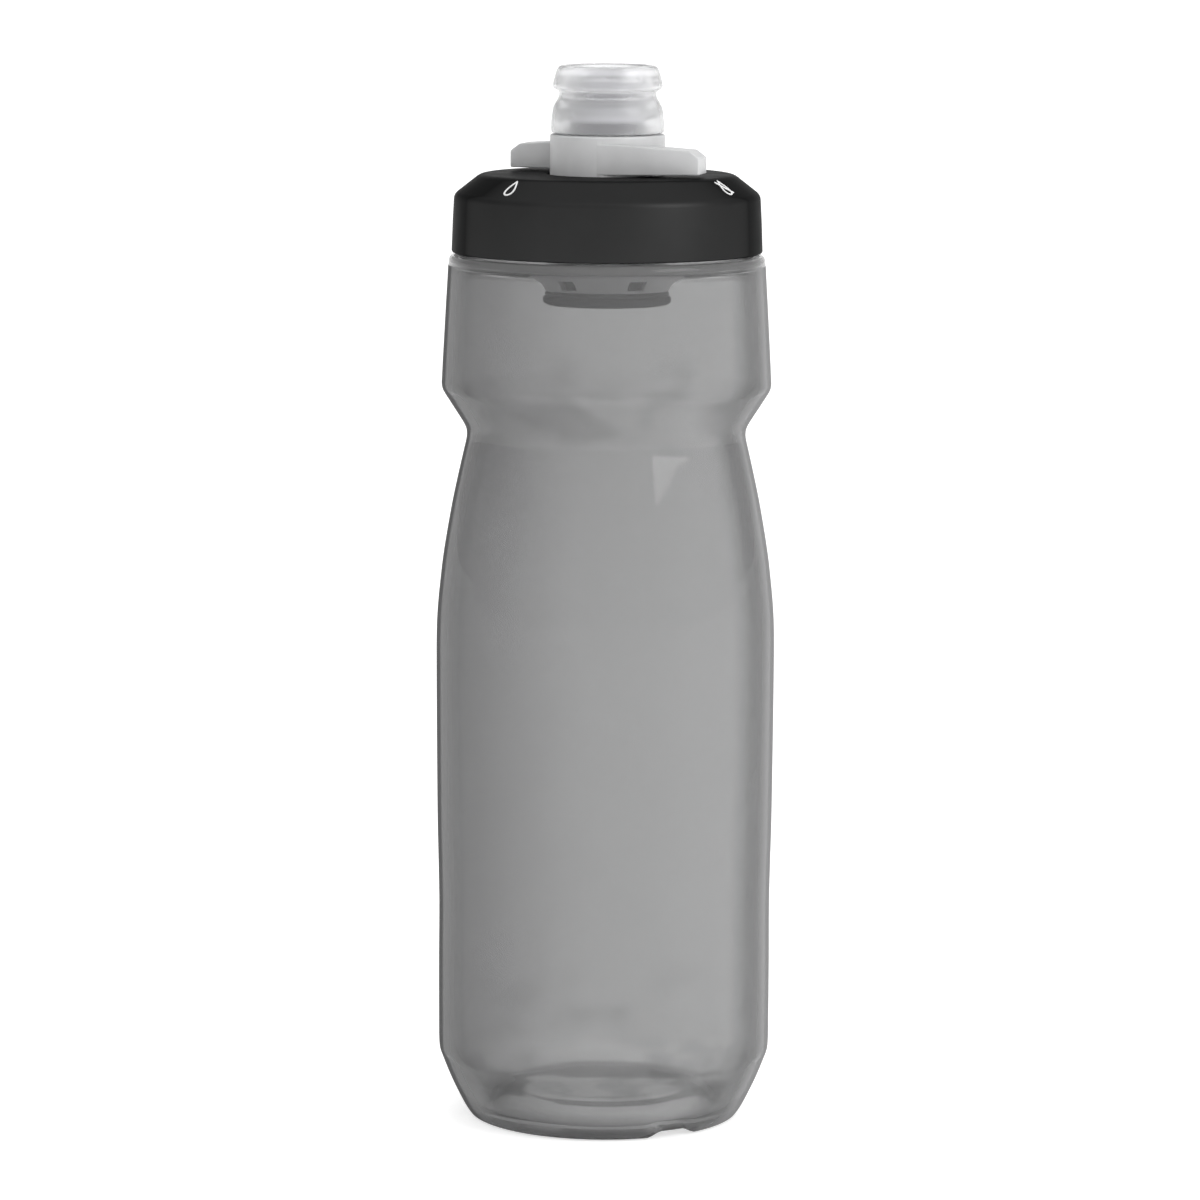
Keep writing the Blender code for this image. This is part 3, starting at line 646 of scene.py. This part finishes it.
def make_dial(material):
    corners = [
        (8.1, 206.4, 0.2), (8.1, 213.3, 0.2), (6.2, 213.3, 0.15), (6.2, 221.8, 0.3), (8.3, 221.8, 0.5),
        (9.0, 220.3, 0.4), (9.0, 219.3, 0.3), (8.3, 218.7, 0.2), (8.3, 214.5, 0.3), (12.4, 214.5, 0.5),
        (12.4, 205.5, 0.25), (11.1, 205.5, 0.2), (11.1, 212.8, 0.3), (9.4, 212.8, 0.3), (9.4, 206.4, 0.2),
    ]
    dial = lathe("dial_collar", rounded(corners, 5), SEGMENTS["dial"])
    helpers = []
    core_line = [(0.0, 204.0), (WING_CORE, 204.0), (WING_CORE, 216.0), (0.0, 216.0)]
    core = lathe("wing_core", core_line, SEGMENTS["dial"], closed=False)
    for k, turn in enumerate((0.0, 180.0)):
        helpers.append(wing_form(WING_AZIMUTH + turn, f"wing_{k}", core))
        combine(dial, helpers[-1], "UNION")
    helpers.append(core)
    angles = [2 * pi * j / 20 for j in range(20)]
    outline = [(DETENT_WIDTH * MM * cos(a), (DETENT_MIDDLE + DETENT_HEIGHT * sin(a)) * MM) for a in angles]
    for k, azimuth in enumerate(DETENTS):
        helpers.append(prism(f"detent_{k}", outline, upright_frame(azimuth, 10.0), 3.5 * MM))
        combine(dial, helpers[-1], "DIFFERENCE")
    return dressed(dial, helpers, material)


SLIT_TURNS = (45.0, 135.0)
SLIT_OUTLINE = ((-4.0, 0.0), (-3.4, -0.14), (3.4, -0.14), (4.0, 0.0), (3.4, 0.14), (-3.4, 0.14))


def make_nozzle(material):
    outside = curve_through(NOZZLE, 3)
    inside = [
        (0.0, 226.2), (3.0, 226.25), (4.8, 226.2), (6.0, 225.9), (6.7, 225.2), (7.0, 224.2), (7.0, 222.6),
        (7.15, 222.2), (7.6, 222.1), (8.4, 222.0), (8.65, 221.7), (9.2, 220.8), (9.3, 220.4), (9.3, 219.3),
        (9.1, 219.0), (8.6, 218.4), (8.6, 215.6), (8.7, 215.0), (8.9, 214.82),
    ]
    nozzle = lathe("nozzle_soft", inside + outside, SEGMENTS["nozzle"], closed=False)
    helpers = []
    for k, turn in enumerate(SLIT_TURNS):
        place = Matrix.Rotation(radians(turn), 4, "Z") @ Matrix.Translation((0, 0, 225.0 * MM))
        helpers.append(prism(f"slit_{k}", [(x * MM, y * MM) for x, y in SLIT_OUTLINE], place, 4.0 * MM))
        combine(nozzle, helpers[-1], "DIFFERENCE")
    return dressed(nozzle, helpers, material)


PORTS = (-37.0, 27.0, 143.0, 207.0)  # azimuths of the cone's ports
PORT_OUTLINE = ((-2.0, 182.0), (2.0, 182.0), (2.0, 185.1), (-2.0, 185.1))


def make_housing(material):
    corners = [
        (13.15, 181.3, 0.25), (16.9, 188.6, 1.2), (16.9, 201.6, 0.3), (18.4, 202.2, 0.2), (18.4, 203.9, 0.2),
        (15.45, 203.9, 0.2), (15.45, 188.9, 0.6), (11.85, 181.3, 0.2),
    ]
    housing = lathe("valve_cone", rounded(corners, 4), SEGMENTS["housing"])
    helpers = []
    outline = [(x * MM, y * MM) for x, y in PORT_OUTLINE]
    for k, azimuth in enumerate(PORTS):
        helpers.append(prism(f"port_{k}", outline, upright_frame(azimuth, 9.0), 10 * MM))
        combine(housing, helpers[-1], "DIFFERENCE")
    return dressed(housing, helpers, material)


def make_end_disc(material):
    corners = [
        (0.0, 177.9, 0.0), (13.0, 177.9, 0.3), (13.85, 178.5, 0.3), (13.85, 179.7, 0.2), (13.5, 180.0, 0.1),
        (11.5, 180.0, 0.1), (11.5, 181.2, 0.2), (10.2, 181.2, 0.2), (10.2, 179.7, 0.2), (0.0, 179.7, 0.0),
    ]
    disc = lathe("valve_foot", rounded(corners, 4), SEGMENTS["end_disc"], closed=False)
    disc.data.materials.append(material)
    return disc


OPEN_MARK, LOCKED_MARK = -42.8, 56.3  # azimuths
STRIKE_TILT, STRIKE_HALF = -50.0, 2.4  # the line across the locked drop, and half its length
LINE_HALF = 0.18
DROP_HALF_WIDTH, DROP_HALF_HEIGHT = 1.45, 2.2
CHAMFER_RADIUS, CHAMFER_HEIGHT, CHAMFER_RISE, CHAMFER_RUN = 29.75, 204.09, 4.45, 5.7
RIBBON_SKIRT, RIBBON_SIDE, RIBBON_TOP = -0.02, 0.11, 0.15  # heights over the chamfer


def drop_line(steps=72):
    """The middle line of a water drop, point up: (across, up) in mm."""
    points = []
    for k in range(steps):
        a = 2 * pi * k / steps
        points.append((DROP_HALF_WIDTH * sin(a) * sin(a / 2) ** 1.3, DROP_HALF_HEIGHT * cos(a)))
    return points


def on_chamfer(azimuth, across, up, lift):
    """A point on the cap's chamfer, lift mm above it."""
    length = (CHAMFER_RISE * CHAMFER_RISE + CHAMFER_RUN * CHAMFER_RUN) ** 0.5
    r = CHAMFER_RADIUS - up * CHAMFER_RUN / length + lift * CHAMFER_RISE / length
    z = CHAMFER_HEIGHT + up * CHAMFER_RISE / length + lift * CHAMFER_RUN / length
    a = radians(azimuth) + across / CHAMFER_RADIUS
    return Vector((sin(a) * r, -cos(a) * r, z)) * MM


def ribbon(bm, azimuth, line, half, closed):
    """A thin raised ribbon along a line on the chamfer."""
    p = np.array(line, float)
    d = (np.roll(p, -1, axis=0) - np.roll(p, 1, axis=0)) if closed else np.gradient(p, axis=0)
    d /= np.maximum(np.linalg.norm(d, axis=1), 1e-9)[:, None]
    side = np.stack([-d[:, 1], d[:, 0]], axis=1) * half
    section = (
        (side, RIBBON_SKIRT), (side, RIBBON_SIDE), (side * 0.7, RIBBON_TOP),
        (-side * 0.7, RIBBON_TOP), (-side, RIBBON_SIDE), (-side, RIBBON_SKIRT),
    )
    rows = []
    for offset, lift in section:
        rows.append([bm.verts.new(on_chamfer(azimuth, *(q + o), lift)) for q, o in zip(p, offset)])
    count = len(p)
    for low, high in zip(rows, rows[1:] + rows[:1]):
        for k in range(count if closed else count - 1):
            n = (k + 1) % count
            bm.faces.new([low[k], low[n], high[n], high[k]])
    if not closed:
        bm.faces.new([row[0] for row in rows])
        bm.faces.new([row[-1] for row in rows])


def make_marks(material):
    """The two marks on the chamfer: a drop where the dial opens, and a struck-out drop where it locks."""
    bm = bmesh.new()
    ribbon(bm, OPEN_MARK, drop_line(), LINE_HALF, True)
    unlocked = make("open_drop", bm, SHARP_MARK)
    bm = bmesh.new()
    ribbon(bm, LOCKED_MARK, drop_line(), LINE_HALF, True)
    tilt = radians(STRIKE_TILT)
    strike = [(STRIKE_HALF * t * cos(tilt), STRIKE_HALF * t * sin(tilt)) for t in np.linspace(-1, 1, 9)]
    ribbon(bm, LOCKED_MARK, strike, LINE_HALF, False)
    locked = make("locked_drop", bm, SHARP_MARK)
    for obj in (unlocked, locked):
        obj.data.materials.append(material)
    return unlocked, locked


# ------------------------------------------------------------------ stage
FLOOR_RADIUS, FLOOR_DROP, FLOOR_GLOW = 25.0, 0.0002, 0.62
WHITE = 1.02  # radiance that renders as paper white
OVERHEAD = 1.1
ROOM = (  # (azimuth in degrees from the front, radiance): white behind, darker at both sides
    (-180, WHITE), (-172.5, WHITE), (-166, 0.35), (-95, 0.3), (-70, 0.5), (-50, 0.72), (0, 0.78),
    (40, 0.85), (75, 0.85), (105, 0.6), (165, 0.55), (172.5, WHITE), (180, WHITE),
)
HORIZON_BAND = (0.09, 0.22)  # sine of the height over which the white horizon gives way to the room
OVERHEAD_BAND = (0.35, 0.8)  # the same, from the room to the overhead light


def make_floor():
    bm = bmesh.new()
    bmesh.ops.create_circle(bm, cap_ends=True, segments=96, radius=FLOOR_RADIUS)
    floor = make("floor", bm)
    floor.location.z = -FLOOR_DROP
    m = Nodes("pale_floor")
    grain = m.noise(60.0, 3.0, 0.5)
    m.feed(Base_Color=m.mix(grain, (0.70, 0.70, 0.70), (0.72, 0.72, 0.72)))
    m.set(Roughness=0.9, Specular_IOR_Level=0.0, Emission_Strength=FLOOR_GLOW, Emission_Color=(1, 1, 1, 1))
    floor.data.materials.append(m.material)


def make_world():
    """A studio as radiance by azimuth, with a white horizon and the same overhead light all round."""
    world = bpy.data.worlds.new("studio")
    world.use_nodes = True
    bpy.context.scene.world = world
    nodes, links = world.node_tree.nodes, world.node_tree.links
    split = nodes.new("ShaderNodeSeparateXYZ")
    links.new(nodes.new("ShaderNodeTexCoord").outputs["Generated"], split.inputs[0])

    def math(operation, a, b):
        node = nodes.new("ShaderNodeMath")
        node.operation = operation
        for socket, value in zip(node.inputs, (a, b)):
            if isinstance(value, (int, float)):
                socket.default_value = value
            else:
                links.new(value, socket)
        return node.outputs[0]

    def up_to(band, below, above):
        """below under the band of heights and above over it. Each is a source or a number."""
        rise = nodes.new("ShaderNodeMapRange")
        fill_range(rise, *band, 0.0, 1.0)
        links.new(split.outputs["Z"], rise.inputs["Value"])
        mixed = nodes.new("ShaderNodeMix")
        mixed.data_type = "FLOAT"
        links.new(rise.outputs["Result"], mixed.inputs["Factor"])
        for socket, value in (("A", below), ("B", above)):
            if isinstance(value, float):
                mixed.inputs[socket].default_value = value
            else:
                links.new(value, mixed.inputs[socket])
        return mixed.outputs["Result"]

    azimuth = math("ARCTAN2", split.outputs["X"], math("MULTIPLY", split.outputs["Y"], -1.0))
    room = nodes.new("ShaderNodeValToRGB")
    fill_ramp(room.color_ramp, [(angle / 360.0 + 0.5, (value, value, value)) for angle, value in ROOM])
    links.new(math("ADD", math("DIVIDE", azimuth, 2 * pi), 0.5), room.inputs["Fac"])
    around = up_to(HORIZON_BAND, WHITE, room.outputs["Color"])
    background = nodes["Background"]
    links.new(up_to(OVERHEAD_BAND, around, OVERHEAD), background.inputs["Strength"])
    background.inputs["Color"].default_value = (1, 1, 1, 1)


def area(name, target, azimuth, elevation, distance, width, height, power):
    """A rectangular light at this distance from the target point, facing it."""
    light = bpy.data.lights.new(name, "AREA")
    light.shape, light.size, light.size_y, light.energy = "RECTANGLE", width, height, power
    obj = bpy.data.objects.new(name, light)
    bpy.context.scene.collection.objects.link(obj)
    out = outward(azimuth) * cos(radians(elevation)) + Vector((0, 0, sin(radians(elevation))))
    obj.location = Vector(target) + out * distance
    obj.rotation_euler = (-out).to_track_quat("-Z", "Y").to_euler()


KEY_TARGET = (0, 0, 0.12)
KEY = {"azimuth": 54.6, "elevation": 31.0, "distance": 1.3, "width": 0.73, "height": 0.67, "power": 6.0}
CAMERA_PLACE, CAMERA_PITCH, CAMERA_ROLL, CAMERA_LENS = (-0.0012, -1.183, 0.278), 7.925, 0.25, 164.7


def make_camera():
    data = bpy.data.cameras.new("camera")
    data.sensor_width, data.lens = 36.0, CAMERA_LENS
    data.clip_start, data.clip_end = 0.01, 50.0
    camera = bpy.data.objects.new("camera", data)
    bpy.context.scene.collection.objects.link(camera)
    camera.location = CAMERA_PLACE
    pitch = Matrix.Rotation(radians(90 - CAMERA_PITCH), 4, "X")
    camera.rotation_euler = (pitch @ Matrix.Rotation(radians(CAMERA_ROLL), 4, "Z")).to_euler()
    bpy.context.scene.camera = camera


def main():
    for obj in list(bpy.data.objects):
        bpy.data.objects.remove(obj, do_unlink=True)
    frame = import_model()
    smoke, black, grey, clear = smoke_plastic(), black_plastic(), grey_plastic(), silicone()
    rubber, white = seal_rubber(), mark_white()
    pieces = (
        (make_bottle(smoke), "bottle_body", "bottle", "smoke_plastic"),
        (make_cap(black), "cap_shell", "cap", "black_plastic"),
        (make_dial(grey), "lock_dial", "dial", "grey_plastic"),
        (make_nozzle(clear), "nozzle_valve", "dial", "clear_silicone"),
        (make_housing(grey), "valve_housing", "cap", "grey_plastic"),
        (make_end_disc(black), "valve_end_disc", "cap", "black_plastic"),
    )
    unlocked, locked = make_marks(white)
    pieces += ((unlocked, "open_mark", "cap", "mark_white"), (locked, "locked_mark", "cap", "mark_white"))
    for piece, node, body, slot in pieces:
        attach(piece, body)
        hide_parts(node)
    kept = {"valve_rotor": black, "cap_gasket": clear, "disc_washer": rubber, "stem_ring_lower": rubber,
            "stem_ring_upper": rubber}
    for node, material in kept.items():
        mesh = frame["nodes"][node].data
        mesh.materials.clear()
        mesh.materials.append(material)
    make_floor()
    make_world()
    area("key", KEY_TARGET, **KEY)
    make_camera()
    view = bpy.context.scene.view_settings
    view.view_transform, view.look = "Standard", "None"


main()
